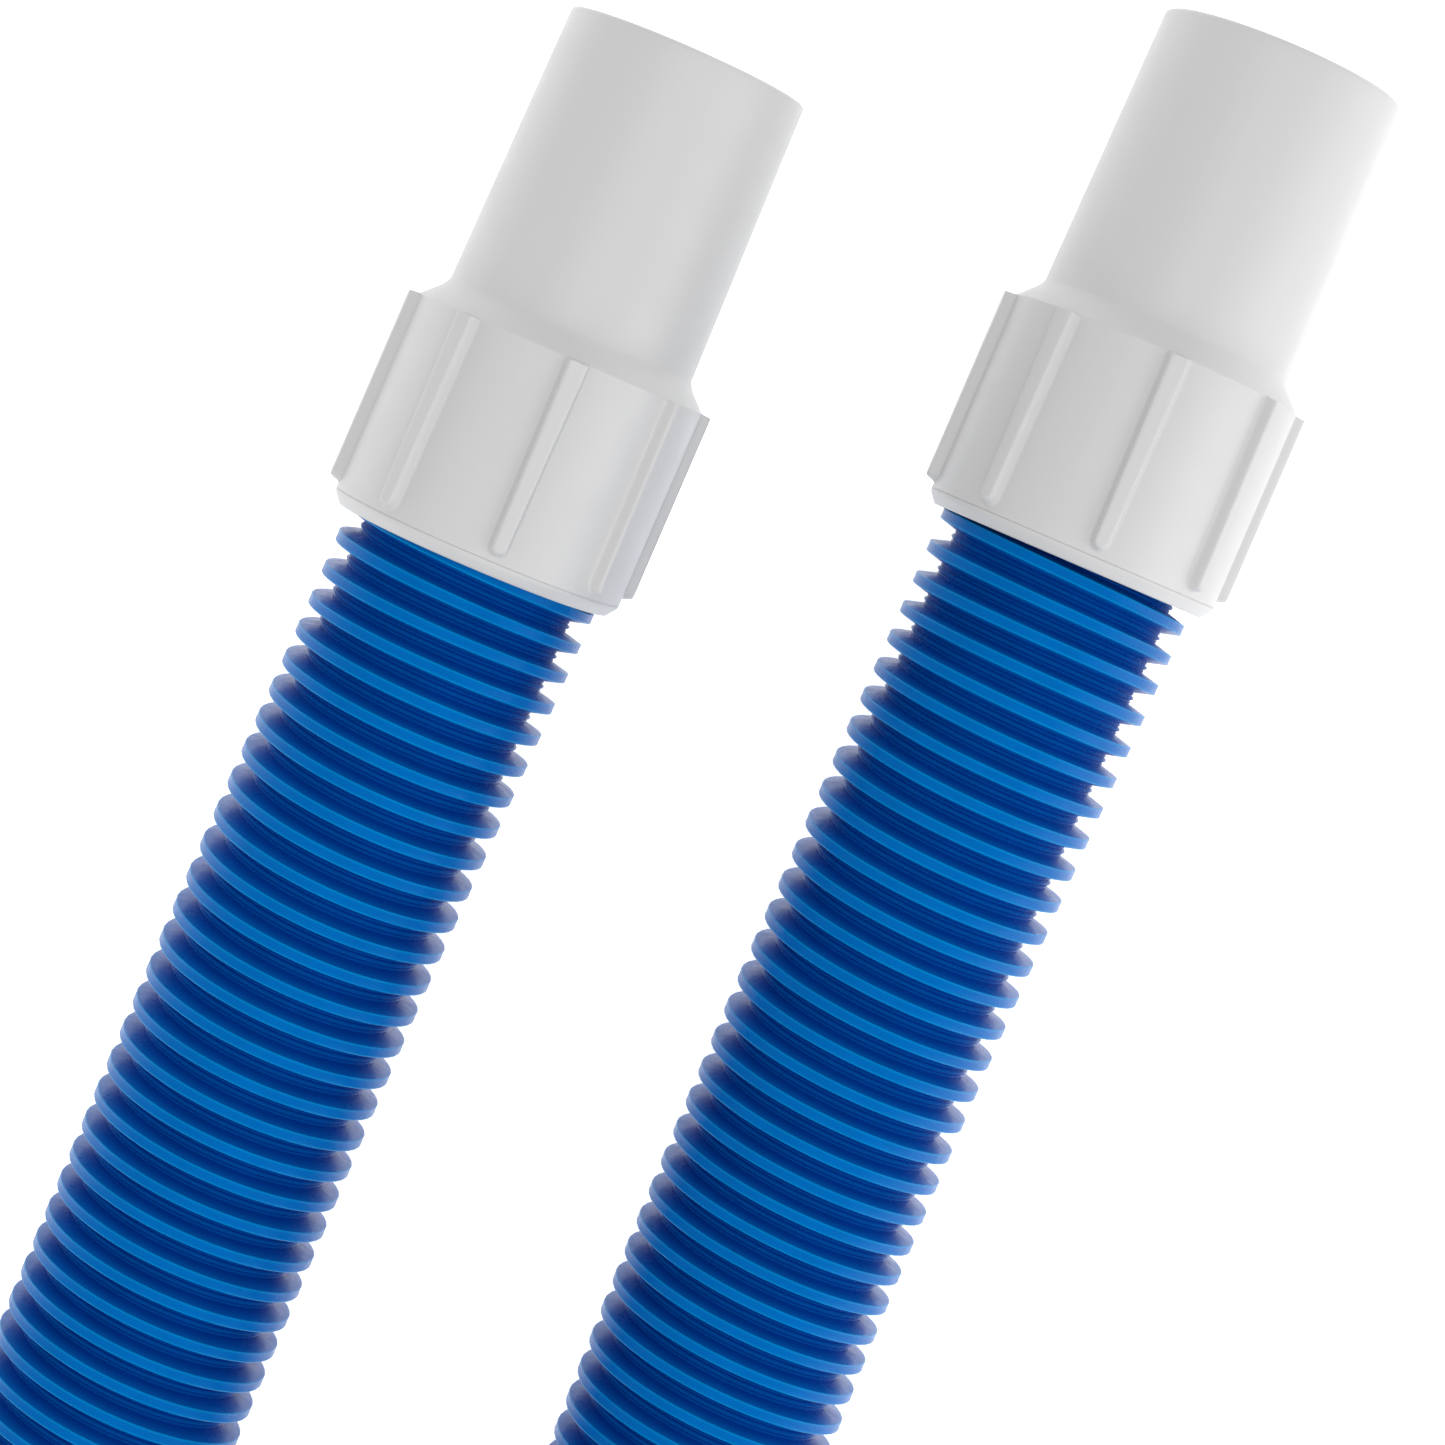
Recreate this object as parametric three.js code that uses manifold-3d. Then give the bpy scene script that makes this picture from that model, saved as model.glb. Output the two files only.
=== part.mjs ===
// Pool vacuum hose: a ribbed blue suction hose with a white swivel cuff on each end.
// Millimetres, +Z up, floor at z = 0. Both cuffs point along +Y, side by side, and the
// rest of the hose lies behind them in a coil. Azimuths turn about +Y from +Z to +X.
import * as THREE from 'three';
import { mergeVertices } from 'three/addons/utils/BufferGeometryUtils.js';
import Module from 'manifold-3d';

const wasm = await Module();
wasm.setup();

// ---- driving dimensions ----
const HOSE_OD = 47;
const HOSE_BORE = 38;
const FIN_PITCH = 6;
const FIN_HEIGHT = 3.6;
const FIN_TIP = 1.6;
const VALLEY = 2.1;
const GAP = 0.3;

const CUFF_LENGTH = 96;
const SPIGOT_LENGTH = 52.8;
const SPIGOT_TIP_R = 22.15;
const SPIGOT_ROOT_R = 22.95;
const COLLAR_R = 26.85;
const CAVITY_R = 25.2;
const CAVITY_START = 57.5;
const LIP_R = 24.2;
const LIP_START = 94.8;
const RIM = 0.6;
const MOUTH_CHAMFER = [1.4, 1.8];

const RIB_COUNT = 8;
const RIB_R = 28.9;
const RIB_WIDTH = 4.6;
const RIB_END_WIDTH = 3.4;
const RIB_LENGTH = 36;
const RIB_TURN = THREE.MathUtils.degToRad(11.5);

const WASHER_END = 60;
const INSERT_END = 90;
const RING_END = 94.5;
const HOSE_END_STOP = 104;

const CUFF_SPACING = 96;
const CUFF_STAGGER = 41;
const AXIS_Z = RIB_R * Math.cos(RIB_TURN) + (RIB_WIDTH / 2) * Math.sin(RIB_TURN);

const TURN_GAP = 48;
const COIL_R = 235;
const STRAP_THICK = 1.6;
const STRAP_WIDTH = 20;
const STRAP_SIDE_ROOM = 1.2;
const STRAP_ANGLES = [10, 130, 250];
const COIL_CENTRE = new THREE.Vector2(211, -646.3);

// ---- derived places ----
const BORE_R = HOSE_BORE / 2;
const FIN_R = HOSE_OD / 2;
const VALLEY_R = FIN_R - FIN_HEIGHT;
const TIP_A = new THREE.Vector3(-CUFF_SPACING / 2, (CUFF_LENGTH - CUFF_STAGGER) / 2, AXIS_Z);
const TIP_B = new THREE.Vector3(CUFF_SPACING / 2, (CUFF_LENGTH + CUFF_STAGGER) / 2, AXIS_Z);
const COIL_HALF = (TURN_GAP + HOSE_OD) / 2;
const COIL_BASE = STRAP_THICK + GAP;
const COIL_OUTER_R = COIL_R + COIL_HALF;

// Routes of the two stretches between a cuff and the coil, laid along the floor.
const ROUTE_A = [
  [-48, -77, AXIS_Z], [-48, -90, 28.8], [-48, -110, 27.8], [-48, -130, 26.5], [-48, -155, 24.9],
  [-48, -180, 23.9], [-48, -210, 23.5], [-48, -250, 23.5], [-48, -300, 24.8], [-48, -340, 28.8],
  [-48, -380, 34.7], [-48, -420, 41.9], [-48, -460, 49.6], [-48, -500, 57.2], [-48, -540, 64.1],
  [-48, -575, 69],
];
const ROUTE_B = [
  [48, -36, AXIS_Z], [48, -50, 28.8], [48, -70, 27.8], [48, -90, 26.5], [48, -115, 24.9],
  [48, -140, 23.9], [48, -170, 23.5], [48, -200, 23.5], [52.1, -239.1, 23.5], [64.3, -276.5, 23.5],
  [83.9, -310.5, 23.7], [110.2, -339.7, 24.2], [142, -362.8, 24.8], [177.9, -378.8, 25.2],
];

const SEGMENTS = 40;
const THREAD_SEGMENTS = 20;
const TUBE_SIDES = 10;

// ---- materials ----
const white = new THREE.MeshStandardMaterial({ color: 0xd8d8d8, roughness: 0.45, metalness: 0 });
const ivory = new THREE.MeshStandardMaterial({ color: 0xc9cac8, roughness: 0.5, metalness: 0 });
const blue = new THREE.MeshStandardMaterial({ color: 0x0b5fb0, roughness: 0.35, metalness: 0 });
const rubber = new THREE.MeshStandardMaterial({ color: 0x222326, roughness: 0.8, metalness: 0 });
const webbing = new THREE.MeshStandardMaterial({ color: 0x1d2230, roughness: 0.9, metalness: 0 });

// ---- solids: closed meshes in, cut and joined by manifold-3d, geometry out ----
function solid(geometry) {
  const bare = geometry.clone();
  bare.deleteAttribute('normal');
  bare.deleteAttribute('uv');
  const merged = mergeVertices(bare, 1e-4);
  return new wasm.Manifold(new wasm.Mesh({
    numProp: 3,
    vertProperties: new Float32Array(merged.attributes.position.array),
    triVerts: new Uint32Array(merged.index.array),
  }));
}

function geometryOf(manifold) {
  const mesh = manifold.getMesh();
  const geometry = new THREE.BufferGeometry();
  geometry.setAttribute('position', new THREE.BufferAttribute(mesh.vertProperties, 3));
  geometry.setIndex(new THREE.BufferAttribute(mesh.triVerts, 1));
  geometry.computeVertexNormals();
  return geometry;
}

// A ring turned about the Y axis. The outline is a list of [radius, distance from the tip].
function turned(outline, segments = SEGMENTS) {
  const points = outline.map(([radius, along]) => new THREE.Vector2(radius, -along));
  if (THREE.ShapeUtils.area(points) < 0) points.reverse();
  points.push(points[0].clone());
  return solid(new THREE.LatheGeometry(points, segments));
}

function sleeve(innerR, outerR, start, end, segments = SEGMENTS) {
  return turned([[innerR, start], [outerR, start], [outerR, end], [innerR, end]], segments);
}

// A rod with the hose's left-hand fins, from start to end, with room added all over it.
function finnedRod(start, end, room) {
  const flank = (FIN_PITCH - VALLEY - FIN_TIP) / 2;
  const profile = [
    [room, VALLEY_R], [VALLEY - room, VALLEY_R],
    [VALLEY + flank - room, FIN_R], [VALLEY + flank + FIN_TIP + room, FIN_R],
  ];
  const turns = Math.ceil((end - start) / FIN_PITCH) + 2;
  const rows = turns * profile.length;
  const positions = [];
  for (let column = 0; column < THREAD_SEGMENTS; column += 1) {
    const share = column / THREAD_SEGMENTS;
    const azimuth = 2 * Math.PI * share;
    for (let row = 0; row <= rows; row += 1) {
      const [offset, radius] = profile[row % profile.length];
      const turn = Math.floor(row / profile.length) - 1 + share;
      const along = start + turn * FIN_PITCH + offset;
      const reach = radius + room;
      positions.push(reach * Math.sin(azimuth), -along, reach * Math.cos(azimuth));
    }
  }
  const at = (column, row) => (column < THREAD_SEGMENTS
    ? column * (rows + 1) + row
    : row + profile.length);
  const index = [];
  for (let column = 0; column < THREAD_SEGMENTS; column += 1) {
    const last = column === THREAD_SEGMENTS - 1;
    for (let row = 0; row < (last ? rows - profile.length : rows); row += 1) {
      const a = at(column, row);
      const b = at(column, row + 1);
      const c = at(column + 1, row + 1);
      const d = at(column + 1, row);
      index.push(a, b, c, a, c, d);
    }
  }
  const nearLoop = [];
  const farLoop = [];
  for (let column = 0; column < THREAD_SEGMENTS; column += 1) {
    nearLoop.push(at(column, 0));
    farLoop.push(at(column, rows));
  }
  for (let row = profile.length; row > 0; row -= 1) nearLoop.push(row);
  const lastColumn = THREAD_SEGMENTS - 1;
  for (let row = rows - 1; row >= rows - profile.length; row -= 1) farLoop.push(at(lastColumn, row));
  closeWithFan(positions, index, nearLoop, start - FIN_PITCH, false);
  closeWithFan(positions, index, farLoop, start + (turns - 1) * FIN_PITCH, true);
  const geometry = new THREE.BufferGeometry();
  geometry.setAttribute('position', new THREE.Float32BufferAttribute(positions, 3));
  geometry.setIndex(index);
  return solid(geometry);
}

function closeWithFan(positions, index, loop, along, far) {
  const centre = positions.length / 3;
  positions.push(0, -along, 0);
  for (let k = 0; k < loop.length; k += 1) {
    const here = loop[k];
    const next = loop[(k + 1) % loop.length];
    if (far) index.push(centre, next, here);
    else index.push(centre, here, next);
  }
}

// ---- the pieces of one swivel cuff, each drawn with its tip at the origin ----
function ribOutline() {
  const half = RIB_WIDTH / 2;
  const endHalf = RIB_END_WIDTH / 2;
  const shape = new THREE.Shape();
  shape.moveTo(-half, 0);
  shape.lineTo(-endHalf, -(RIB_LENGTH - endHalf));
  shape.absarc(0, -(RIB_LENGTH - endHalf), endHalf, Math.PI, 2 * Math.PI, false);
  shape.lineTo(half, 0);
  shape.closePath();
  return shape;
}

function rib(azimuth) {
  const root = COLLAR_R - 1;
  const bar = new THREE.ExtrudeGeometry(ribOutline(), {
    depth: RIB_R - root, bevelEnabled: false, curveSegments: 6,
  });
  bar.translate(0, -(SPIGOT_LENGTH + COLLAR_R - SPIGOT_ROOT_R), root);
  bar.rotateY(azimuth);
  return solid(bar);
}

function cuffBody() {
  const shoulderEnd = SPIGOT_LENGTH + COLLAR_R - SPIGOT_ROOT_R;
  let body = turned([
    [BORE_R + RIM, 0], [SPIGOT_TIP_R - RIM, 0], [SPIGOT_TIP_R, RIM],
    [SPIGOT_ROOT_R, SPIGOT_LENGTH], [COLLAR_R, shoulderEnd],
    [COLLAR_R, CUFF_LENGTH - MOUTH_CHAMFER[1]], [COLLAR_R - MOUTH_CHAMFER[0], CUFF_LENGTH],
    [LIP_R, CUFF_LENGTH], [LIP_R, LIP_START], [CAVITY_R, LIP_START],
    [CAVITY_R, CAVITY_START], [BORE_R, CAVITY_START], [BORE_R, RIM],
  ]);
  for (let k = 0; k < RIB_COUNT; k += 1) {
    body = body.add(rib(RIB_TURN + (2 * Math.PI * k) / RIB_COUNT));
  }
  return body;
}

function sealingWasher() {
  return sleeve(BORE_R + GAP, CAVITY_R - GAP, CAVITY_START + GAP, WASHER_END);
}

function threadedInsert() {
  const blank = sleeve(BORE_R + 1, CAVITY_R - GAP, WASHER_END + GAP, INSERT_END);
  return blank.subtract(finnedRod(WASHER_END + GAP, INSERT_END, GAP));
}

function retainingRing() {
  return sleeve(FIN_R + GAP + 0.1, CAVITY_R - GAP, INSERT_END + GAP, RING_END);
}

function hoseEnd() {
  const blank = sleeve(BORE_R, FIN_R + 1, WASHER_END + GAP, HOSE_END_STOP, THREAD_SEGMENTS);
  return blank.intersect(finnedRod(WASHER_END + GAP, HOSE_END_STOP, 0));
}

// ---- the long hose ----
function hoseRun(points) {
  const route = new THREE.CatmullRomCurve3(points.map((point) => new THREE.Vector3(...point)));
  const section = new THREE.Shape();
  for (let side = 0; side < TUBE_SIDES; side += 1) {
    const turn = (2 * Math.PI * (side + 0.5)) / TUBE_SIDES;
    const reach = FIN_R;
    if (side === 0) section.moveTo(reach * Math.cos(turn), reach * Math.sin(turn));
    else section.lineTo(reach * Math.cos(turn), reach * Math.sin(turn));
  }
  section.closePath();
  const tube = solid(new THREE.ExtrudeGeometry(section, {
    steps: points.length - 1, extrudePath: route, bevelEnabled: false,
  }));
  const clearR = COIL_OUTER_R + 3 * GAP;
  const wound = new THREE.CylinderGeometry(clearR, clearR, 4 * COIL_HALF, 64);
  wound.rotateX(Math.PI / 2);
  wound.translate(COIL_CENTRE.x, COIL_CENTRE.y, 0);
  return tube.subtract(solid(wound));
}

function hoseCoil() {
  const inner = COIL_R - COIL_HALF;
  const top = COIL_BASE + 2 * COIL_HALF;
  const outline = [
    [inner, COIL_BASE], [COIL_OUTER_R, COIL_BASE], [COIL_OUTER_R, top], [inner, top],
  ].map(([radius, height]) => new THREE.Vector2(radius, height));
  outline.push(outline[0].clone());
  const ring = new THREE.LatheGeometry(outline, 48);
  ring.rotateX(Math.PI / 2);
  return ring;
}

function coilStrap() {
  const width = COIL_HALF + STRAP_SIDE_ROOM;
  const height = COIL_HALF + GAP;
  const band = rectangle(new THREE.Shape(), width + STRAP_THICK, height + STRAP_THICK);
  band.holes.push(rectangle(new THREE.Path(), width, height));
  const strap = new THREE.ExtrudeGeometry(band, { depth: STRAP_WIDTH, bevelEnabled: false });
  strap.translate(0, 0, -STRAP_WIDTH / 2);
  strap.rotateX(Math.PI / 2);
  strap.translate(COIL_R, 0, COIL_BASE + COIL_HALF);
  return strap;
}

function rectangle(path, halfWidth, halfHeight) {
  path.moveTo(-halfWidth, -halfHeight);
  path.lineTo(halfWidth, -halfHeight);
  path.lineTo(halfWidth, halfHeight);
  path.lineTo(-halfWidth, halfHeight);
  path.closePath();
  return path;
}

// ---- assembly ----
function named(name, geometry, material) {
  const mesh = new THREE.Mesh(geometry, material);
  mesh.name = name;
  return mesh;
}

function swivelEnd(suffix, tip) {
  const end = new THREE.Group();
  end.add(named(`cuff_body_${suffix}`, geometryOf(cuffBody()), white));
  end.add(named(`sealing_washer_${suffix}`, geometryOf(sealingWasher()), rubber));
  end.add(named(`threaded_insert_${suffix}`, geometryOf(threadedInsert()), ivory));
  end.add(named(`retaining_ring_${suffix}`, geometryOf(retainingRing()), white));
  end.add(named(`hose_end_${suffix}`, geometryOf(hoseEnd()), blue));
  end.position.copy(tip);
  return end;
}

const hose = new THREE.Group();
hose.add(swivelEnd('a', TIP_A));
hose.add(swivelEnd('b', TIP_B));
hose.add(named('hose_run_a', geometryOf(hoseRun(ROUTE_A)), blue));
hose.add(named('hose_run_b', geometryOf(hoseRun(ROUTE_B)), blue));

const coil = new THREE.Group();
coil.position.set(COIL_CENTRE.x, COIL_CENTRE.y, 0);
coil.add(named('hose_coil', hoseCoil(), blue));
STRAP_ANGLES.forEach((angle, k) => {
  const strap = named(`coil_strap_${k + 1}`, coilStrap(), webbing);
  strap.rotation.z = THREE.MathUtils.degToRad(angle);
  coil.add(strap);
});
hose.add(coil);

export default hose;
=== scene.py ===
import math

import bpy
import numpy as np
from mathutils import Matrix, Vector


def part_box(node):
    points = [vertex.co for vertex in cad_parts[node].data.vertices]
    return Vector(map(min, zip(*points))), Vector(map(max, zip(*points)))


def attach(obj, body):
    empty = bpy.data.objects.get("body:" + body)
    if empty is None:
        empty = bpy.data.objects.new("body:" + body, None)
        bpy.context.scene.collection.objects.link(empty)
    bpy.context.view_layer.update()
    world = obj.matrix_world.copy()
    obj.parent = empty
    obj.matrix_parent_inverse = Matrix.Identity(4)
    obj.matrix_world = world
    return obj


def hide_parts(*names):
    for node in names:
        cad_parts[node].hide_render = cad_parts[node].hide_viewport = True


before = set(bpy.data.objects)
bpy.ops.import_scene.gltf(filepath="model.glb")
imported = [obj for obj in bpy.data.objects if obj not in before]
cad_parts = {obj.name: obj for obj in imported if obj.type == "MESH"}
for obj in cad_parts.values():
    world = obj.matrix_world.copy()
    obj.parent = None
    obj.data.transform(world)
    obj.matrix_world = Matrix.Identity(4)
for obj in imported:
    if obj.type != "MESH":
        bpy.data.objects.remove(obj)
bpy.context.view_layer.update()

MM = 0.001

# ---- places taken from the frame ----


def cuff_tip(node):
    """The middle of a cuff's open end: its axis runs along Y through the middle of its box."""
    low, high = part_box(node)
    return Vector(((low[0] + high[0]) / 2, high[1], (low[2] + high[2]) / 2))


TIP = {"a": cuff_tip("cuff_body_a"), "b": cuff_tip("cuff_body_b")}
CUFF_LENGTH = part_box("cuff_body_a")[1][1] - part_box("cuff_body_a")[0][1]
COIL_LOW, COIL_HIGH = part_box("hose_coil")
COIL_X = (COIL_LOW[0] + COIL_HIGH[0]) / 2
COIL_Y = (COIL_LOW[1] + COIL_HIGH[1]) / 2
COIL_OUTER_R = (COIL_HIGH[0] - COIL_LOW[0]) / 2
COIL_BASE = COIL_LOW[2]
COIL_TOP = COIL_HIGH[2]

# ---- the hose's own sizes, in metres ----

HOSE_OD = 47 * MM
FIN_R = HOSE_OD / 2
BORE_R = 19 * MM
FIN_PITCH = 6 * MM
HOSE_START = 60.3 * MM      # from a cuff's tip to the hose's cut end inside it
SIDES = 48

ROW = COIL_TOP - COIL_BASE - HOSE_OD
OUTER_TRACK = COIL_OUTER_R - FIN_R
LOW_ROW = COIL_BASE + FIN_R
BEND_B = 188 * MM
BEND_B_X = TIP["b"].x + BEND_B

# The two stretches between a cuff and the coil: part.mjs's routes with a slight natural bow.
AXIS_Z = TIP["a"].z
ROUTE_A = [
    (-0.048, -0.077, AXIS_Z), (-0.0481, -0.090, 0.0287), (-0.0485, -0.110, 0.0278),
    (-0.0489, -0.130, 0.0265), (-0.0491, -0.155, 0.0249), (-0.0490, -0.180, 0.0239),
    (-0.0486, -0.210, 0.0235), (-0.0482, -0.250, 0.0235), (-0.0480, -0.300, 0.0248),
    (-0.048, -0.340, 0.0288), (-0.048, -0.380, 0.0347), (-0.048, -0.420, 0.0419),
    (-0.048, -0.460, 0.0496), (-0.048, -0.500, 0.0572), (-0.048, -0.540, 0.0641),
    (-0.048, -0.575, 0.0690),
]
ROUTE_B = [
    (0.048, -0.036, AXIS_Z), (0.0479, -0.050, 0.0287), (0.0476, -0.070, 0.0278),
    (0.0475, -0.090, 0.0265), (0.0474, -0.115, 0.0249), (0.0476, -0.140, 0.0239),
    (0.0481, -0.170, 0.0235), (0.0491, -0.200, 0.0235), (0.0525, -0.2391, 0.0235),
    (0.0643, -0.2765, 0.0235), (0.0839, -0.3105, 0.0237), (0.1102, -0.3397, 0.0242),
    (0.1420, -0.3628, 0.0248), (0.1779, -0.3788, 0.0252),
]

# Where along the winding (degrees from the point where the hose joins the coil) it moves
# to the inner track, climbs to the upper layer, and moves back to the outer track.
TO_INNER = (215, 335)
CLIMB = (505, 655)
TO_OUTER = (700, 860)
COIL_TURNS = 3
WINDING_STEP = 12

STRAP_WIDTH = 20 * MM
STRAP_THICK = 1.5 * MM
STRAP_ANGLES = {"coil_strap_1": 10, "coil_strap_2": 130, "coil_strap_3": 250}


def smooth_step(low, high, value):
    share = min(max((value - low) / (high - low), 0), 1)
    return share * share * (3 - 2 * share)


# ---- camera ----


CAMERA_PLACE = (0.0036, -0.0270, 0.680)
CAMERA_TURN = math.radians(23.3)
LENS = 92.3
LENS_SHIFT = (-0.0784, -0.1830)


def make_camera():
    """Looks straight down near the collars, turned so that the cuffs point up and right.

    The picture is a crop to one side of that foot, so the lens is shifted."""
    data = bpy.data.cameras.new("camera")
    data.lens = LENS
    data.sensor_width = 36
    data.shift_x, data.shift_y = LENS_SHIFT
    camera = bpy.data.objects.new("camera", data)
    camera.location = CAMERA_PLACE
    camera.rotation_euler = (0, 0, CAMERA_TURN)
    bpy.context.scene.collection.objects.link(camera)
    bpy.context.scene.camera = camera


# ---- small tools ----


def spline(points, step):
    """A natural cubic spline through the points, sampled about every step metres."""
    points = np.array(points)
    gaps = np.linalg.norm(np.diff(points, axis=0), axis=1)
    knots = np.concatenate([[0], np.cumsum(gaps)])
    count = len(points)
    matrix = np.eye(count)
    right = np.zeros_like(points)
    for k in range(1, count - 1):
        matrix[k, k - 1] = gaps[k - 1]
        matrix[k, k] = 2 * (gaps[k - 1] + gaps[k])
        matrix[k, k + 1] = gaps[k]
        after = (points[k + 1] - points[k]) / gaps[k]
        before = (points[k] - points[k - 1]) / gaps[k - 1]
        right[k] = 6 * (after - before)
    curve = np.linalg.solve(matrix, right)
    samples = np.linspace(0, knots[-1], int(knots[-1] / step) + 1)
    cell = np.clip(np.searchsorted(knots, samples, side="right") - 1, 0, count - 2)
    width = gaps[cell][:, None]
    ahead = (samples - knots[cell])[:, None] / width
    back = 1 - ahead
    bend = (back ** 3 - back) * curve[cell] + (ahead ** 3 - ahead) * curve[cell + 1]
    return back * points[cell] + ahead * points[cell + 1] + bend * width ** 2 / 6


def new_object(name, vertices, faces, material, sharp=math.radians(40)):
    mesh = bpy.data.meshes.new(name)
    mesh.from_pydata(vertices, [], faces)
    mesh.validate()
    mesh.polygons.foreach_set("use_smooth", [True] * len(mesh.polygons))
    mesh.set_sharp_from_angle(angle=sharp)
    mesh.materials.append(material)
    piece = bpy.data.objects.new(name, mesh)
    bpy.context.scene.collection.objects.link(piece)
    return piece


def weld(vertices, quads, size=1e-7):
    """Joins vertices that share a place, and drops faces that this leaves with no area."""
    keys = np.round(vertices / size).astype(np.int64)
    _, first, inverse = np.unique(keys, axis=0, return_index=True, return_inverse=True)
    inverse = inverse.reshape(-1)
    quads = inverse[quads]
    same_next = quads == np.roll(quads, -1, axis=1)
    repeats = same_next.sum(axis=1)
    faces = quads[repeats == 0].tolist()
    for quad, same in zip(quads[repeats == 1], same_next[repeats == 1]):
        faces.append(quad[~same].tolist())
    return vertices[first], faces, first


# ---- materials ----


def new_material(name):
    material = bpy.data.materials.new(name)
    material.use_nodes = True
    nodes = material.node_tree.nodes
    return material, nodes, material.node_tree.links, nodes["Principled BSDF"]


def noise(nodes, links, scale, detail=2.0, stretch=(1, 1, 1)):
    where = nodes.new("ShaderNodeTexCoord")
    mapping = nodes.new("ShaderNodeMapping")
    mapping.inputs["Scale"].default_value = stretch
    texture = nodes.new("ShaderNodeTexNoise")
    texture.inputs["Scale"].default_value = scale
    texture.inputs["Detail"].default_value = detail
    links.new(where.outputs["Object"], mapping.inputs["Vector"])
    links.new(mapping.outputs["Vector"], texture.inputs["Vector"])
    return texture.outputs["Fac"]


def ramp(nodes, links, source, stops):
    node = nodes.new("ShaderNodeValToRGB")
    elements = node.color_ramp.elements
    while len(elements) < len(stops):
        elements.new(0.5)
    for element, (place, colour) in zip(elements, stops):
        element.position = place
        element.color = (*colour, 1)
    links.new(source, node.inputs["Fac"])
    return node.outputs["Color"]


def bump(nodes, links, height, strength, distance, below=None):
    node = nodes.new("ShaderNodeBump")
    node.inputs["Strength"].default_value = strength
    node.inputs["Distance"].default_value = distance
    links.new(height, node.inputs["Height"])
    if below is not None:
        links.new(below, node.inputs["Normal"])
    return node.outputs["Normal"]


def grey(level):
    return (level, level, level)


def multiply(nodes, links, first, second):
    mix = nodes.new("ShaderNodeMix")
    mix.data_type = "RGBA"
    mix.blend_type = "MULTIPLY"
    mix.inputs["Factor"].default_value = 1
    links.new(first, mix.inputs["A"])
    links.new(second, mix.inputs["B"])
    return mix.outputs["Result"]


def moulded_white(name, base, roughness):
    """Satin injection-moulded plastic with faint draw streaks, fine grain and a few dust specks."""
    material, nodes, links, shader = new_material(name)
    red, green, blue = base
    streaks = noise(nodes, links, 75, 3, (1, 0.06, 1))
    colour = ramp(nodes, links, streaks, [
        (0.35, (red * 0.972, green * 0.972, blue * 0.972)), (0.68, base)])
    where = nodes.new("ShaderNodeTexCoord")
    dust = nodes.new("ShaderNodeTexVoronoi")
    dust.inputs["Scale"].default_value = 48
    links.new(where.outputs["Object"], dust.inputs["Vector"])
    specks = ramp(nodes, links, dust.outputs["Distance"], [(0.006, grey(0.62)), (0.013, grey(1.0))])
    links.new(multiply(nodes, links, colour, specks), shader.inputs["Base Color"])
    gloss = ramp(nodes, links, noise(nodes, links, 140, 3), [
        (0.3, grey(roughness - 0.04)), (0.7, grey(roughness + 0.05))])
    links.new(gloss, shader.inputs["Roughness"])
    grain = bump(nodes, links, noise(nodes, links, 2600, 2), 0.12, 0.00008)
    flow = bump(nodes, links, noise(nodes, links, 90, 2, (1, 0.15, 1)), 0.12, 0.0004, grain)
    links.new(flow, shader.inputs["Normal"])
    return material


def hose_blue():
    """Extruded blue plastic. Its base colour follows the wall's tone: painted shade makes the
    valleys navy, painted light makes the fins brighter, and a painted highlight makes their edges
    brightest.
    """
    material, nodes, links, shader = new_material("hose_blue")
    tone = nodes.new("ShaderNodeAttribute")
    tone.attribute_name = "tone"
    # Base colour by tone: the dark stops are painted shade in the valleys, the middle stops painted
    # light on the fin faces, and the top stop a painted highlight on the fin edges.
    painted_shade_and_highlight = ramp(nodes, links, tone.outputs["Fac"], [
        (0.0, (0.0003, 0.042, 0.295)), (0.14, (0.0003, 0.066, 0.380)),
        (0.34, (0.0003, 0.098, 0.405)), (0.50, (0.0003, 0.106, 0.415)),
        (0.74, (0.0003, 0.123, 0.428)), (1.0, (0.0003, 0.195, 0.510))])
    mottle = ramp(nodes, links, noise(nodes, links, 160, 4), [
        (0.25, grey(0.90)), (0.75, grey(1.0))])
    links.new(multiply(nodes, links, painted_shade_and_highlight, mottle), shader.inputs["Base Color"])
    gloss = ramp(nodes, links, noise(nodes, links, 420, 3), [
        (0.3, grey(0.25)), (0.7, grey(0.36))])
    links.new(gloss, shader.inputs["Roughness"])
    shader.inputs["IOR"].default_value = 1.3
    shader.inputs["Specular Tint"].default_value = (0.02, 0.30, 0.75, 1)
    grain = bump(nodes, links, noise(nodes, links, 1500, 2), 0.10, 0.0001)
    links.new(grain, shader.inputs["Normal"])
    return material


def seal_rubber():
    material, nodes, links, shader = new_material("seal_rubber")
    colour = ramp(nodes, links, noise(nodes, links, 300, 3), [
        (0.3, grey(0.012)), (0.7, grey(0.022))])
    links.new(colour, shader.inputs["Base Color"])
    shader.inputs["Roughness"].default_value = 0.7
    links.new(bump(nodes, links, noise(nodes, links, 1800, 2), 0.2, 0.0001), shader.inputs["Normal"])
    return material


THREADS = 260               # scale of the weave's waves across the strap's UV, in 1/m


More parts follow.
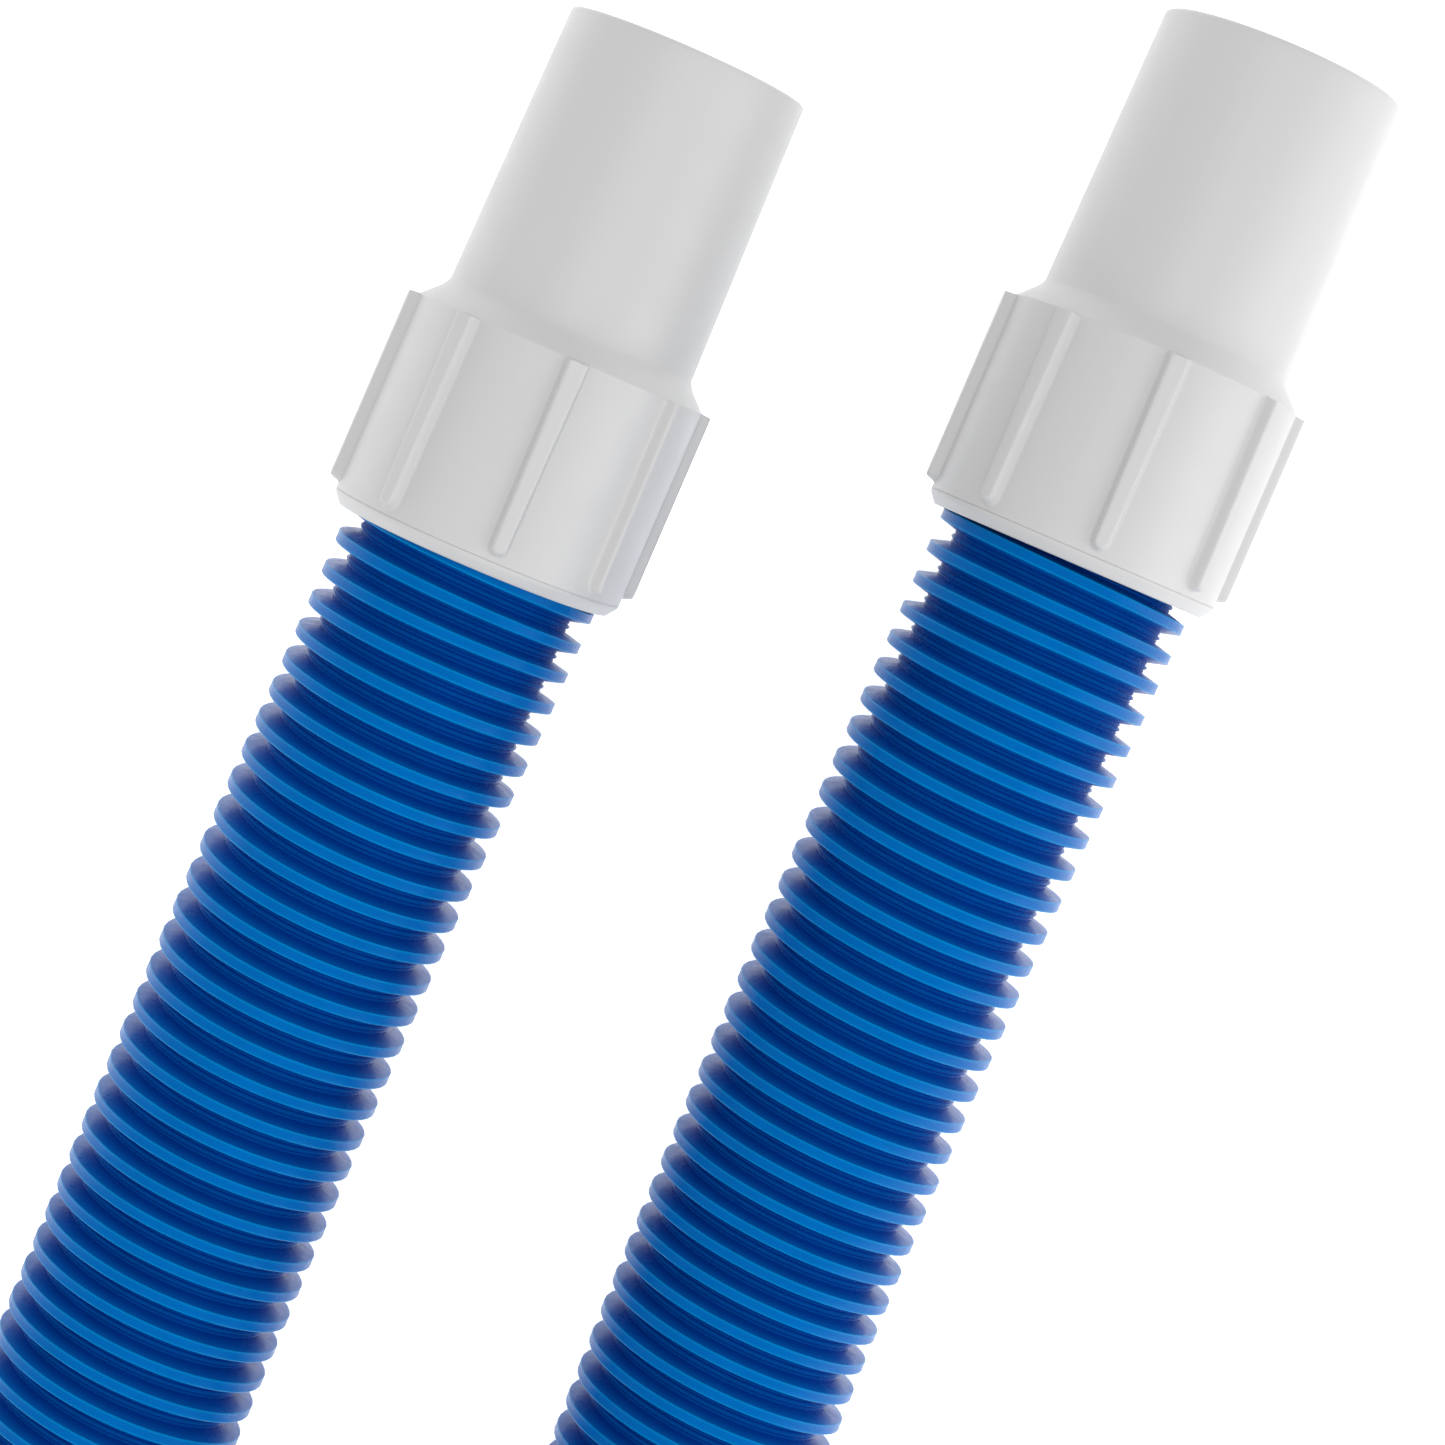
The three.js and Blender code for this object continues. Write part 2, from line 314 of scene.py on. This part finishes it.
def strap_webbing():
    """Dark woven nylon: two crossed waves of thread, fuzzy on the loop side."""
    material, nodes, links, shader = new_material("strap_webbing")
    where = nodes.new("ShaderNodeTexCoord")
    threads = []
    for axis in ("X", "Y"):
        wave = nodes.new("ShaderNodeTexWave")
        wave.bands_direction = axis
        wave.inputs["Scale"].default_value = 1.0
        wave.inputs["Distortion"].default_value = 0.6
        mapping = nodes.new("ShaderNodeMapping")
        mapping.inputs["Scale"].default_value = (THREADS, THREADS, THREADS)
        links.new(where.outputs["UV"], mapping.inputs["Vector"])
        links.new(mapping.outputs["Vector"], wave.inputs["Vector"])
        threads.append(wave.outputs["Fac"])
    weave = nodes.new("ShaderNodeMath")
    weave.operation = "MULTIPLY"
    links.new(threads[0], weave.inputs[0])
    links.new(threads[1], weave.inputs[1])
    colour = ramp(nodes, links, weave.outputs["Value"], [
        (0.0, (0.006, 0.008, 0.016)), (1.0, (0.030, 0.036, 0.060))])
    links.new(colour, shader.inputs["Base Color"])
    shader.inputs["Roughness"].default_value = 0.85
    shader.inputs["Sheen Weight"].default_value = 0.3
    links.new(bump(nodes, links, weave.outputs["Value"], 0.5, 0.0004), shader.inputs["Normal"])
    return material


# ---- the hose ----


def winding():
    """Centre points of the coil's turns, from where the hose joins it to where it leaves."""
    across = BEND_B_X - COIL_X
    join = math.degrees(math.acos(across / (OUTER_TRACK + BEND_B)))
    turns = COIL_TURNS * 360 + join - 180
    angles = np.arange(0, turns, WINDING_STEP).tolist() + [turns]
    points = []
    for along in angles:
        radius, height = track(along)
        angle = math.radians(join - along)
        points.append((COIL_X + radius * math.cos(angle), COIL_Y + radius * math.sin(angle), height))
    return points, join, turns


def track(along):
    inward = smooth_step(*TO_INNER, along) - smooth_step(*TO_OUTER, along)
    return OUTER_TRACK - ROW * inward, LOW_ROW + ROW * smooth_step(*CLIMB, along)


def hose_route():
    """The whole centreline, from the hose's end in cuff b to its end in cuff a."""
    turns, _, _ = winding()
    start = (TIP["b"].x, TIP["b"].y - HOSE_START, AXIS_Z)
    middle_b = (TIP["b"].x, (start[1] + ROUTE_B[0][1]) / 2, AXIS_Z)
    end = (TIP["a"].x, TIP["a"].y - HOSE_START, AXIS_Z)
    middle_a = (TIP["a"].x, (end[1] + ROUTE_A[0][1]) / 2, AXIS_Z)
    back = [(x, y, z) for x, y, z in reversed(ROUTE_A)]
    return [start, middle_b] + ROUTE_B + turns + back + [middle_a, end]


def carried_frames(line):
    """Unit tangents, and normals carried along the line without twist, starting from +Z."""
    tangents = np.gradient(line, axis=0)
    tangents /= np.linalg.norm(tangents, axis=1)[:, None]
    normals = np.empty_like(tangents)
    normal = np.array([0, 0, 1.0])
    for k, tangent in enumerate(tangents):
        normal = normal - tangent * normal.dot(tangent)
        normal /= np.linalg.norm(normal)
        normals[k] = normal
    return tangents, normals, np.cross(tangents, normals)


def mirrored(half, middle):
    """Half a profile, and its mirror image on the other side of its middle."""
    other = half[::-1] * np.array([-1, 1, 1]) + np.array([2 * middle, 0, 0])
    return np.vstack([half, other[1:]])


# One pitch of the hose's wall: millimetres along it, radius, and tone. The valley holds three fine
# weld beads, and the fin has straight flanks and rounded edges. The tone paints light and shade: low
# in the gaps between the beads as painted shade, higher on the fin face as painted light, and 1 on
# the fin's rounded edges as a painted highlight.
VALLEY_MIDDLE = 1.05
FIN_MIDDLE = 4.05
BEADS = np.array([
    (0.00, 19.90, 0.10), (0.30, 20.12, 0.32), (0.56, 19.82, 0.00), (0.80, 20.26, 0.32),
    (1.05, 20.44, 0.36),
])
FIN = np.array([
    (2.22, 20.30, 0.14), (2.62, 21.75, 0.24), (3.02, 23.18, 0.50), (3.09, 23.40, 1.00),
    (3.26, 23.50, 1.00), (3.44, 23.47, 0.76), (4.05, 23.44, 0.70),
])
NEXT_VALLEY = np.array([(6.00, 19.90, 0.10)])
FINE_WALL = np.vstack([mirrored(BEADS, VALLEY_MIDDLE), mirrored(FIN, FIN_MIDDLE), NEXT_VALLEY])
# The same pitch without the fine beads, for the coil, with the same painted shade in the valley and
# painted light on the fin face.
PLAIN_WALL = np.array([
    (0.00, 19.90, 0.10), (1.05, 20.36, 0.24), (2.10, 19.90, 0.10), (3.02, 23.18, 0.60),
    (3.26, 23.50, 0.86), (4.84, 23.50, 0.86), (5.08, 23.18, 0.60), (6.00, 19.90, 0.10),
])

# The fins stand at 6 mm in the cuffs. Outside them the hose is drawn out and pressed
# together a little: metres from its cut end, and the pitch there in millimetres.
STRETCH = np.array([
    (0.000, 6.00), (0.040, 6.00), (0.046, 5.77), (0.072, 5.77), (0.080, 6.06), (0.130, 6.06),
    (0.150, 5.82), (0.165, 5.65), (0.240, 5.65), (0.340, 6.00),
])
# How far the fins lean out of square, in degrees, at a distance from the cut end.
LEAN = np.array([
    (0.000, 0.0), (0.034, 0.0), (0.050, 1.9), (0.120, 0.0), (0.200, -2.0), (0.340, 0.0),
])
# Where a fin's middle is on top, from the cut end, and how far out the fine beads are made.
FIRST_FIN = {"a": 47.7 * MM, "b": 49.6 * MM}
FINE_STRETCH = 0.34


class Line:
    """The centreline, its frames, and how many turns of the fin lie before each place."""

    def __init__(self, points):
        self.points = spline(points, 0.002)
        steps = np.linalg.norm(np.diff(self.points, axis=0), axis=1)
        self.place = np.concatenate([[0], np.cumsum(steps)])
        self.length = self.place[-1]
        self.tangents, self.normals, self.sides = carried_frames(self.points)
        self.from_end = np.minimum(self.place, self.length - self.place)
        lean = np.radians(np.interp(self.from_end, LEAN[:, 0], LEAN[:, 1]))
        self.sides = self.sides + self.tangents * np.tan(lean)[:, None]
        self.turns = self.count_turns()

    def count_turns(self):
        """Turns are counted so that a fin's middle is on top at FIRST_FIN from both ends."""
        density = 1 / (np.interp(self.from_end, STRETCH[:, 0], STRETCH[:, 1]) * MM)
        middle = np.where(self.from_end > FINE_STRETCH, density, 0)
        turns = running_sum(density, self.place)
        last = self.normals[-1]
        roll = math.atan2(last[0], last[2]) / (2 * math.pi)
        fin = FIN_MIDDLE * MM / FIN_PITCH
        start = fin - np.interp(FIRST_FIN["b"], self.place, turns)
        end = fin + np.interp(FIRST_FIN["a"], self.place, turns) + roll
        spare = end - start - turns[-1]
        spare -= round(spare)
        extra = running_sum(middle, self.place)
        return start + turns + extra * spare / extra[-1]

    def at(self, along, azimuth, radius):
        centre = self.between(self.points, along)
        normal = self.between(self.normals, along)
        side = self.between(self.sides, along)
        return centre + radius[:, None] * (
            np.cos(azimuth)[:, None] * normal + np.sin(azimuth)[:, None] * side)

    def between(self, values, along):
        return np.stack([np.interp(along, self.place, values[:, k]) for k in range(3)], axis=1)


def running_sum(density, place):
    middles = (density[1:] + density[:-1]) / 2
    return np.concatenate([[0], np.cumsum(middles * np.diff(place))])


def on_wall(wall, turns):
    """Radius and tone of the wall at a fraction of a turn."""
    share = np.mod(turns, 1) * FIN_PITCH / MM
    return np.interp(share, wall[:, 0], wall[:, 1]) * MM, np.interp(share, wall[:, 0], wall[:, 2])


def helical_grid(line, wall, first, last, ends):
    """Rows that follow the fin, cut square at both ends: place, azimuth, radius and tone."""
    shares = wall[:-1, 0] * MM / FIN_PITCH
    rows = (np.arange(first, last)[:, None] + shares[None, :]).reshape(-1)
    rows = np.append(rows, last)
    columns = np.arange(SIDES + 1) / SIDES
    turns = np.clip(rows[:, None] + columns[None, :], *ends)
    radius, tone = on_wall(wall, turns - columns[None, :])
    inner = (turns > ends[0]) & (turns < ends[1])
    exact_radius, exact_tone = on_wall(wall, rows - 1e-9)
    at_zero = np.abs(rows - np.round(rows)) < 1e-9
    exact_radius[at_zero] = wall[0, 1] * MM
    exact_tone[at_zero] = wall[0, 2]
    radius = np.where(inner, exact_radius[:, None], radius)
    tone = np.where(inner, exact_tone[:, None], tone)
    along = np.interp(turns, line.turns, line.place)
    azimuth = np.broadcast_to(-2 * math.pi * columns[None, :], turns.shape)
    return along, azimuth, radius, tone


def smooth_grid(line, wall, radius, ends):
    """The plain inner or outer wall with both cut faces, as rings."""
    low, high = np.interp(ends, line.turns, line.place)
    rings = np.linspace(low, high, max(int((high - low) / (2 * FIN_PITCH)), 4))
    along = np.concatenate([[low], rings, [high]])
    columns = np.arange(SIDES + 1) / SIDES
    grid = np.repeat(along[:, None], SIDES + 1, axis=1)
    reach = np.full_like(grid, radius)
    reach[0] = on_wall(wall, ends[0] - columns)[0]
    reach[-1] = on_wall(wall, ends[1] - columns)[0]
    azimuth = np.broadcast_to(-2 * math.pi * columns[None, :], grid.shape)
    return grid, azimuth, reach, np.full_like(grid, 0.1)


def grid_quads(rows, columns, offset):
    corner = offset + np.arange(rows - 1)[:, None] * columns + np.arange(columns - 1)[None, :]
    corner = corner.reshape(-1)
    return np.stack([corner, corner + columns, corner + columns + 1, corner + 1], axis=1)


def wound_piece(name, line, helical, smooth, outside_in, material):
    """Welds helical grids and one smooth grid into a closed piece, with its tone stored."""
    fields = []
    quads = []
    offset = 0
    for grid in helical + [smooth]:
        rows, columns = grid[0].shape
        cells = grid_quads(rows, columns, offset)
        flip = (grid is smooth) != outside_in
        quads.append(cells[:, ::-1] if flip else cells)
        offset += rows * columns
        fields.append(np.stack([field.reshape(-1) for field in grid], axis=1))
    along, azimuth, radius, tone = np.concatenate(fields).T
    world = line.at(along, azimuth, radius)
    world, faces, kept = weld(world, np.concatenate(quads))
    piece = new_object(name, world.tolist(), faces, material)
    attribute = piece.data.attributes.new("tone", "FLOAT", "POINT")
    attribute.data.foreach_set("value", tone[kept].astype(np.float32))
    return piece


def make_hose(line, material):
    ends = (line.turns[0], line.turns[-1])
    first = math.floor(ends[0]) - 1
    last = math.ceil(ends[1]) + 1
    fine_b = round(np.interp(FINE_STRETCH, line.place, line.turns))
    fine_a = round(np.interp(line.length - 1.2 * FINE_STRETCH, line.place, line.turns))
    helical = [
        helical_grid(line, FINE_WALL, first, fine_b, ends),
        helical_grid(line, PLAIN_WALL, fine_b, fine_a, ends),
        helical_grid(line, FINE_WALL, fine_a, last, ends),
    ]
    smooth = smooth_grid(line, FINE_WALL, BORE_R, ends)
    return wound_piece("hose", line, helical, smooth, False, material)


INSERT_LENGTH = 29.7 * MM
INSERT_R = 24.9 * MM
THREAD_GAP = 0.3            # millimetres between the insert's thread and the hose's fins


def make_insert(end, line, material):
    """The sleeve screwed onto the hose's last turns: threaded inside, plain outside."""
    places = (0, INSERT_LENGTH) if end == "b" else (line.length - INSERT_LENGTH, line.length)
    ends = tuple(np.interp(places, line.place, line.turns))
    wall = FINE_WALL + np.array([0, THREAD_GAP, 0])
    helical = helical_grid(line, wall, math.floor(ends[0]) - 1, math.ceil(ends[1]) + 1, ends)
    smooth = smooth_grid(line, wall, INSERT_R, ends)
    return wound_piece(f"insert_{end}", line, [helical], smooth, True, material)


# ---- the cuffs, in millimetres ----

CUFF_BORE_R = 19.0
TIP_ROUND = 0.7
BORE_BREAK = 0.35
SPIGOT_LENGTH = 52.8
SPIGOT_TIP_R = 22.15
SPIGOT_ROOT_R = 22.95
COLLAR_R = 26.85
COLLAR_TOP = SPIGOT_LENGTH + COLLAR_R - SPIGOT_ROOT_R
CAVITY_R = 25.2
CAVITY_START = 57.5
LIP_R = 24.2
LIP_START = 94.8
RIB_COUNT = 8
RIB_TURN = {"a": math.radians(11.5), "b": math.radians(4.5)}
RIB_HEIGHT = 2.0
RIB_HALF = 2.4
RIB_END_HALF = 1.95
RIB_END = COLLAR_TOP + 36
RIB_EDGE = 1.0
RIB_SIDE = np.array([1, 0.88, 0.75, 0.6, 0.45, 0.3, 0.15, 0, -0.3])
MOUTH_CHAMFER = (1.4, 1.8)


def arc(centre, radius, start, end, steps):
    """Points of an arc as (radius, along), angles in degrees from the outward direction."""
    angles = np.radians(np.linspace(start, end, steps))
    return [(centre[0] + radius * math.cos(a), centre[1] + radius * math.sin(a)) for a in angles]


def spigot_outline():
    """Up the outside from the tip: its rounded edge, the tapering spigot and the shoulder."""
    outline = [(CUFF_BORE_R + BORE_BREAK, 0.0)]
    outline += arc((SPIGOT_TIP_R - TIP_ROUND, TIP_ROUND), TIP_ROUND, -90, 0, 6)
    for share in np.linspace(0.04, 1, 14):
        radius = SPIGOT_TIP_R + (SPIGOT_ROOT_R - SPIGOT_TIP_R) * share
        outline.append((radius, TIP_ROUND + 51.3 * share))
    outline += [(SPIGOT_ROOT_R + 0.12, SPIGOT_LENGTH - 0.35),
                (SPIGOT_ROOT_R + 0.42, SPIGOT_LENGTH + 0.15)]
    outline += [(SPIGOT_ROOT_R + step, SPIGOT_LENGTH + step) for step in (0.9, 1.8, 2.7, 3.3)]
    return outline + [(COLLAR_R - 0.28, COLLAR_TOP - 0.30), (COLLAR_R - 0.08, COLLAR_TOP - 0.08)]


def collar_outline(length):
    """On down the collar to its chamfered mouth, with close rows where the ribs start and end."""
    rows = [0.04, 0.16, 0.32, 0.55, 0.9, 2.0, 5, 9, 13, 17, 21, 25, 28.5, 31]
    outline = [(COLLAR_R, COLLAR_TOP + row) for row in rows]
    outline += [(COLLAR_R, RIB_END - 3.6 + 0.3 * k) for k in range(16)]
    radial, axial = MOUTH_CHAMFER
    outline += [(COLLAR_R, length - axial - 0.7), (COLLAR_R - 0.03, length - axial - 0.3)]
    outline += [(COLLAR_R - 0.14 - radial * share, length - axial * (1 - share) + 0.02)
                for share in (0.0, 0.25, 0.5, 0.75, 0.95)]
    return outline + [(COLLAR_R - radial - 0.3, length - 0.02), (LIP_R + 0.3, length),
                      (LIP_R + 0.08, length - 0.08)]


def inner_outline(length):
    """Back up the inside: the lip, the cavity that holds the insert, and the bore."""
    return [(LIP_R, length - 0.3), (LIP_R, LIP_START), (CAVITY_R, LIP_START), (CAVITY_R, 76),
            (CAVITY_R, CAVITY_START), (CUFF_BORE_R, CAVITY_START), (CUFF_BORE_R, 40),
            (CUFF_BORE_R, 20), (CUFF_BORE_R, BORE_BREAK), (CUFF_BORE_R + 0.1, 0.1)]


def rib_half_width(along):
    down = np.clip((along - COLLAR_TOP) / (RIB_END - COLLAR_TOP), 0, 1)
    return RIB_HALF + (RIB_END_HALF - RIB_HALF) * down


def cuff_azimuths(end, along):
    """Columns round the cuff for each row. They follow the taper of the ribs' soft sides."""
    sector = 2 * math.pi / RIB_COUNT
    edge = rib_half_width(along)[:, None] - RIB_EDGE * RIB_SIDE[None, :]
    flat = edge[:, :1] * np.array([[0, 0.5]])
    rib = np.hstack([flat, edge]) / COLLAR_R
    between = rib[:, -1:] + (sector / 2 - rib[:, -1:]) * np.linspace(0, 1, 7)[None, 1:]
    right = np.hstack([rib, between])
    offsets = np.hstack([-right[:, -2:0:-1], right])
    return np.hstack([RIB_TURN[end] + k * sector + offsets for k in range(RIB_COUNT)])


def rib_height(end, along, azimuth):
    """How far a rib stands out: soft-sided and tapering, square at the top, round at its end."""
    sector = 2 * math.pi / RIB_COUNT
    offset = (azimuth - RIB_TURN[end] + sector / 2) % sector - sector / 2
    across = np.abs(offset) * COLLAR_R
    past = np.maximum(along - (RIB_END - RIB_END_HALF), 0)
    side = np.clip((rib_half_width(along) - np.hypot(across, past)) / RIB_EDGE, 0, 1)
    top = np.clip((along - COLLAR_TOP) / 0.16, 0, 1)
    return RIB_HEIGHT * side * side * (3 - 2 * side) * top


def make_cuff(end, material):
    length = CUFF_LENGTH / MM
    outside = spigot_outline() + collar_outline(length)
    outline = np.array(outside + inner_outline(length))
    azimuths = cuff_azimuths(end, outline[:, 1])
    radius = np.broadcast_to(outline[:, :1], azimuths.shape)
    along = np.broadcast_to(outline[:, 1:], azimuths.shape)
    on_collar = (np.arange(len(outline)) < len(outside))[:, None] & (along > COLLAR_TOP - 0.01)
    radius = radius + np.where(on_collar, rib_height(end, along, azimuths), 0)
    tip = TIP[end]
    x = tip.x + MM * radius * np.sin(azimuths)
    y = tip.y - MM * along
    z = tip.z + MM * radius * np.cos(azimuths)
    vertices = np.stack([x, y, z], axis=2).reshape(-1, 3)
    faces = ring_faces(*azimuths.shape)
    return new_object(f"cuff_{end}", vertices.tolist(), faces, material, math.radians(50))


def ring_faces(rows, columns):
    faces = []
    for row in range(rows):
        after = (row + 1) % rows
        for column in range(columns):
            beside = (column + 1) % columns
            faces.append((row * columns + column, row * columns + beside,
                          after * columns + beside, after * columns + column))
    return faces


def turned(name, outline, end, material, segments=96):
    """A ring turned round a cuff's axis from a closed outline of (radius, distance) in mm."""
    tip = TIP[end]
    vertices = []
    for radius, along in outline:
        for k in range(segments):
            azimuth = 2 * math.pi * k / segments
            vertices.append((tip.x + MM * radius * math.sin(azimuth), tip.y - MM * along,
                             tip.z + MM * radius * math.cos(azimuth)))
    return new_object(name, vertices, ring_faces(len(outline), segments), material)


def soft_ring(inner, outer, start, end, edge):
    """A rectangular section with rounded corners."""
    corners = [((outer - edge, start + edge), -90, 0), ((outer - edge, end - edge), 0, 90),
               ((inner + edge, end - edge), 90, 180), ((inner + edge, start + edge), 180, 270)]
    outline = []
    for centre, low, high in corners:
        outline += arc(centre, edge, low, high, 5)
    return outline


# ---- the straps round the coil ----

STRAP_STEP = 3 * MM
STRAP_LAP = 14              # steps of its own length that a strap laps over itself
STRAP_EDGE = 0.6 * MM


def strands_at(angle):
    """Centres (radius, height) of the strands that cross one direction from the coil's middle."""
    _, join, turns = winding()
    along = (join - angle) % 360
    centres = []
    while along <= turns:
        centres.append(track(along))
        along += 360
    return centres


def hull(points):
    """The convex outline of the points, in order round it."""
    points = sorted(set(points))

    def half(run):
        chain = []
        for point in run:
            while len(chain) > 1 and turn_sign(chain[-2], chain[-1], point) <= 0:
                chain.pop()
            chain.append(point)
        return chain[:-1]
    return half(points) + half(points[::-1])


def turn_sign(a, b, c):
    """Positive where a, b, c turn to the left."""
    return (b[0] - a[0]) * (c[1] - a[1]) - (b[1] - a[1]) * (c[0] - a[0])


def band_path(angle, reach):
    """A closed loop drawn tight round the strands, as evenly spaced (radius, height) points."""
    points = []
    for radius, height in strands_at(angle):
        for k in range(72):
            turn = 2 * math.pi * k / 72
            point = (radius + reach * math.cos(turn), height + reach * math.sin(turn))
            points.append((round(point[0], 7), round(point[1], 7)))
    loop = np.array(hull(points))
    closed = np.vstack([loop, loop[:1]])
    place = np.concatenate([[0], np.cumsum(np.linalg.norm(np.diff(closed, axis=0), axis=1))])
    samples = np.linspace(0, place[-1], int(place[-1] / STRAP_STEP), endpoint=False)
    return np.stack([np.interp(samples, place, closed[:, k]) for k in range(2)], axis=1)


def strap_section():
    """A strap's section with eased edges: metres across it, and share of its thickness."""
    half = STRAP_WIDTH / 2
    flat = half - STRAP_EDGE
    return [(-half, 0.2), (-flat, 0.0), (flat, 0.0), (half, 0.2),
            (half, 0.8), (flat, 1.0), (-flat, 1.0), (-half, 0.8)]


def make_strap(name, angle, material):
    """A flat band round the coil with its tail lapped over itself on top."""
    path = band_path(angle, FIN_R + 0.0001)
    count = len(path)
    top = int(np.argmax(path[:, 1] + 0.05 * (path[:, 0] - OUTER_TRACK)))
    order = [(top + k) % count for k in range(count + STRAP_LAP)]
    ahead = np.roll(path, -1, axis=0) - np.roll(path, 1, axis=0)
    outward = np.stack([ahead[:, 1], -ahead[:, 0]], axis=1)
    outward /= np.linalg.norm(outward, axis=1)[:, None]
    turn = math.radians(angle)
    radial = np.array([math.cos(turn), math.sin(turn), 0])
    across = np.array([-math.sin(turn), math.cos(turn), 0])
    middle = np.array([COIL_X, COIL_Y, 0])
    section = strap_section()
    vertices = []
    for number, k in enumerate(order):
        lift = STRAP_THICK * smooth_step(count - 6, count + 1, number)
        for sideways, share in section:
            radius, height = path[k] + outward[k] * (lift + STRAP_THICK * share)
            place = middle + radial * radius + across * sideways + np.array([0, 0, height])
            vertices.append(tuple(place))
    strap = new_object(name + "_webbing", vertices, strip_faces(len(order), len(section)), material)
    unwrap_strap(strap, len(section))
    return strap


def strip_faces(rows, width):
    """Faces of a closed section swept through rows, with both ends capped."""
    faces = []
    for row in range(rows - 1):
        for column in range(width):
            beside = (column + 1) % width
            faces.append((row * width + column, row * width + beside,
                          (row + 1) * width + beside, (row + 1) * width + column))
    last = (rows - 1) * width
    faces.append(tuple(range(width))[::-1])
    faces.append(tuple(last + column for column in range(width)))
    return faces


def unwrap_strap(strap, width):
    layer = strap.data.uv_layers.new(name="strap")
    for polygon in strap.data.polygons:
        for loop_index in polygon.loop_indices:
            vertex = strap.data.loops[loop_index].vertex_index
            row, column = divmod(vertex, width)
            side = STRAP_WIDTH if 2 <= column <= 5 else 0
            layer.data[loop_index].uv = (row * STRAP_STEP, side)


# ---- surroundings ----


def make_floor():
    bpy.ops.mesh.primitive_plane_add(size=8, location=(0, 0, -0.0004))
    floor = bpy.context.object
    floor.name = "floor"
    material, nodes, links, shader = new_material("floor_white")
    shader.inputs["Base Color"].default_value = (0.86, 0.86, 0.86, 1)
    shader.inputs["Roughness"].default_value = 0.9
    shader.inputs["Emission Color"].default_value = (1, 1, 1, 1)
    shader.inputs["Emission Strength"].default_value = 0.70
    floor.data.materials.append(material)


def area_light(name, place, target, size, power):
    data = bpy.data.lights.new(name, "AREA")
    data.shape = "RECTANGLE"
    data.size = size[0]
    data.size_y = size[1]
    data.energy = power
    light = bpy.data.objects.new(name, data)
    light.location = place
    light.rotation_euler = (Vector(target) - Vector(place)).to_track_quat("-Z", "Y").to_euler()
    bpy.context.scene.collection.objects.link(light)


def make_lights():
    world = bpy.data.worlds.new("world")
    world.use_nodes = True
    world.node_tree.nodes["Background"].inputs["Color"].default_value = (1, 1, 1, 1)
    world.node_tree.nodes["Background"].inputs["Strength"].default_value = 0.80
    bpy.context.scene.world = world
    area_light("softbox_right", (1.3, -0.1, 0.42), (0, 0, 0), (0.5, 1.4), 6.2)
    area_light("softbox_low", (0.35, -1.4, 0.9), (0, 0, 0), (1.4, 0.8), 4)
    area_light("softbox_top", (0.0, -0.2, 2.2), (0, -0.3, 0), (1.6, 1.6), 9)
    bpy.context.scene.view_settings.view_transform = "Standard"


# ---- assembly ----


def make_end(end, line, white, ivory, rubber):
    body = f"cuff_{end}"
    cuff = make_cuff(end, white)
    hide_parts(f"cuff_body_{end}")
    washer = turned(f"washer_{end}", soft_ring(19.3, 24.9, 57.8, 60.0, 0.5), end, rubber)
    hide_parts(f"sealing_washer_{end}")
    ring = turned(f"snap_ring_{end}", soft_ring(23.9, 24.9, 90.3, 94.5, 0.3), end, white)
    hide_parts(f"retaining_ring_{end}")
    for piece, slot in ((cuff, "cuff_plastic"), (washer, "seal_rubber"), (ring, "cuff_plastic")):
        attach(piece, body)
    insert = make_insert(end, line, ivory)
    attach(insert, "hose")
    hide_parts(f"threaded_insert_{end}")


make_camera()
centreline = Line(hose_route())
hose = make_hose(centreline, hose_blue())
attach(hose, "hose")
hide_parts("hose_end_a", "hose_end_b", "hose_run_a", "hose_run_b", "hose_coil")

webbing = strap_webbing()
for strap_name, strap_angle in STRAP_ANGLES.items():
    strap = make_strap(strap_name, strap_angle, webbing)
    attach(strap, "hose")
    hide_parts(strap_name)

cuff_white = moulded_white("cuff_white", (0.56, 0.56, 0.56), 0.40)
insert_ivory = moulded_white("insert_ivory", (0.48, 0.48, 0.465), 0.5)
rubber_black = seal_rubber()
for end_name in ("a", "b"):
    make_end(end_name, centreline, cuff_white, insert_ivory, rubber_black)

make_floor()
make_lights()
